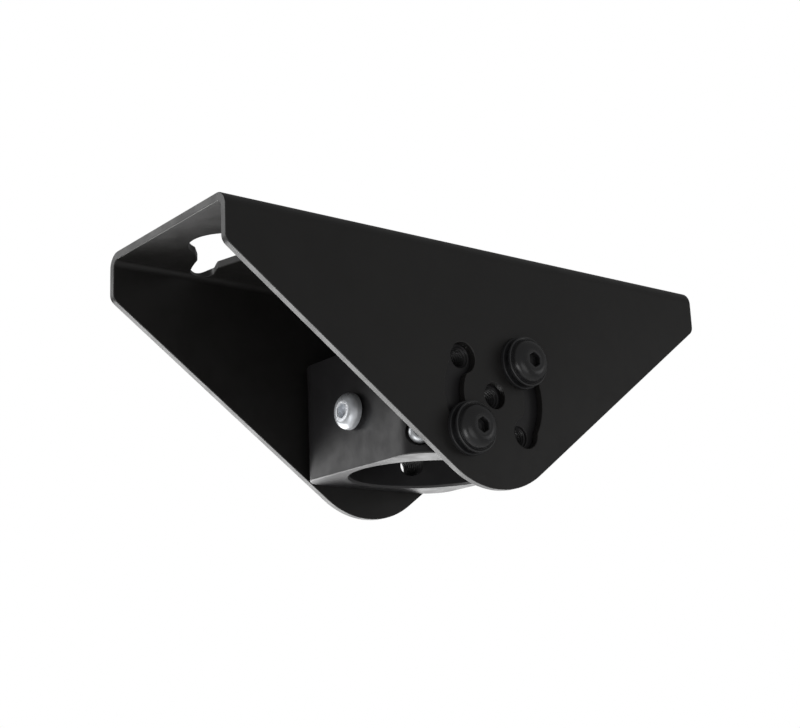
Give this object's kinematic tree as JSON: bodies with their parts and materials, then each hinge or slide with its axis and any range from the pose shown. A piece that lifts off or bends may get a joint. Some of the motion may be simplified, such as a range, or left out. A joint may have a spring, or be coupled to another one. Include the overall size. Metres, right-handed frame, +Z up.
{
  "type": "ceiling pole mount",
  "caption": "Folded steel ceiling bracket with a tilting collar that clamps a round display pole, set by screws in curved slots.",
  "frame": {"origin": "middle of the flat face that meets the ceiling", "axes": "+X along the bracket, +Y across it from the near cheek to the far one, +Z up into the ceiling"},
  "size_m": [0.23, 0.0984, 0.0932],
  "materials": {
    "bracket_powder_coat": "satin black powder coat with a fine orange-peel grain",
    "collar_powder_coat": "smoother satin black powder coat",
    "black_washer": "black oxide steel",
    "zinc_washer": "bright zinc plating",
    "black_screw": "glossy black plating worn thin at the rims",
    "zinc_screw": "bright zinc plating"
  },
  "bodies": {
    "bracket": {"ceiling_bracket": "bracket_powder_coat"},
    "collar": {"pole_collar": "collar_powder_coat", "near_upper_flat_washer": "black_washer", "near_lower_flat_washer": "black_washer", "far_upper_flat_washer": "black_washer", "far_lower_flat_washer": "black_washer", "near_upper_lock_washer": "zinc_washer", "near_lower_lock_washer": "zinc_washer", "far_upper_lock_washer": "zinc_washer", "far_lower_lock_washer": "zinc_washer", "near_upper_tilt_screw": "black_screw", "near_lower_tilt_screw": "black_screw", "far_upper_tilt_screw": "black_screw", "far_lower_tilt_screw": "black_screw"},
    "front_clamp": {"front_clamp_screw": "zinc_screw"},
    "rear_clamp": {"rear_clamp_screw": "zinc_screw"},
    "lock": {"lock_screw": "zinc_screw"}
  },
  "joints": [
    {"name": "collar_tilt", "type": "hinge", "parent": "bracket", "child": "collar", "pos_m": [0, 0, -0.0582], "axis": [0, 1, 0], "range_deg": [0, 86]},
    {"name": "front_clamp_travel", "type": "slide", "parent": "collar", "child": "front_clamp", "axis": [-1, 0, 0], "range_m": [-0.0013, 0.003]},
    {"name": "rear_clamp_travel", "type": "slide", "parent": "collar", "child": "rear_clamp", "axis": [1, 0, 0], "range_m": [-0.0013, 0.003]},
    {"name": "lock_travel", "type": "slide", "parent": "collar", "child": "lock", "axis": [-0.6719, -0.7406, 0], "range_m": [-0.0013, 0]}
  ]
}
